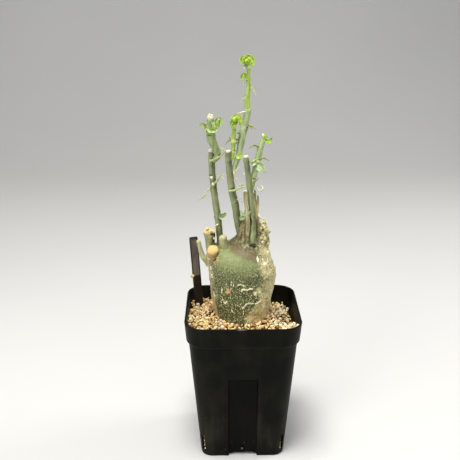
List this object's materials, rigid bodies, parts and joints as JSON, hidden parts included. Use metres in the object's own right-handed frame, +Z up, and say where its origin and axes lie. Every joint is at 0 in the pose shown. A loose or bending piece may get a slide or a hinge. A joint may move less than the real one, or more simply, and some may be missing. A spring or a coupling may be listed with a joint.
{
  "type": "potted caudex plant",
  "caption": "Warty green caudex with woody neck, cut stems, pale shoots and tendrils, dressed with pumice in a deep square black nursery pot with a blank label.",
  "frame": {"origin": "middle of the pot's flat base, on the surface it stands on", "axes": "+Z up, the pot's front face towards -Y, the label at the back left (-X, +Y)"},
  "size_m": [0.0898, 0.0898, 0.3121],
  "materials": {
    "pot": "satin black moulded plastic",
    "mix": "rough dark potting mix",
    "gravel": "matt cream and tan pumice",
    "skin": "green warty skin, slightly waxy",
    "cork": "dry knobbly cork",
    "stem": "dark green bark with pale dots",
    "shoot": "fresh green skin",
    "dry": "dry grey and tan bark",
    "leaf": "thin soft leaf",
    "tendril": "wiry olive and cream skin",
    "label": "glossy dark plastic"
  },
  "bodies": {
    "root": {"pot": "pot", "substrate": "mix", "gravel_dressing": "gravel", "caudex": "skin", "plant_label": "label", "stub_outer_left": "cork", "stub_cut_left": "cork", "stub_cut_front": "stem", "stub_blunt": "stem", "stub_tan": "dry", "stump_right": "cork", "stem_left": "stem", "shoot_left": "shoot", "stem_front": "stem", "shoot_small": "shoot", "stem_tall": "shoot", "shoot_tip": "shoot", "stem_centre": "stem", "stem_right": "shoot", "twig_dry_a": "dry", "twig_dry_b": "dry", "leaf_broad_right": "leaf", "leaf_curled_right": "tendril", "leaf_heart_left": "leaf", "leaf_curled_left": "leaf", "leaf_small_left": "tendril", "leaf_lime_left": "leaf", "leaf_lime_right": "leaf", "leaf_tip_left": "leaf", "leaf_tip_right": "leaf", "leaf_tip_top": "leaf", "leaf_side_tip": "leaf", "leaf_tip_low": "leaf", "tendril_left": "tendril", "thorn_tip_left": "tendril", "thorn_left_node": "tendril", "tendril_left_arc": "tendril", "tendril_left_cross": "tendril", "spine_left_foot": "tendril", "tendril_front_bundle": "tendril", "tendril_front_fork": "tendril", "thorn_small_shoot": "tendril", "tendril_small_curl": "tendril", "tendril_knee": "tendril", "thorn_tall_left": "tendril", "thorn_tall_right": "tendril", "tendril_right_long": "tendril", "tendril_right_out": "tendril", "thorn_right_left": "tendril", "tendril_stump": "tendril"}
  },
  "joints": []
}
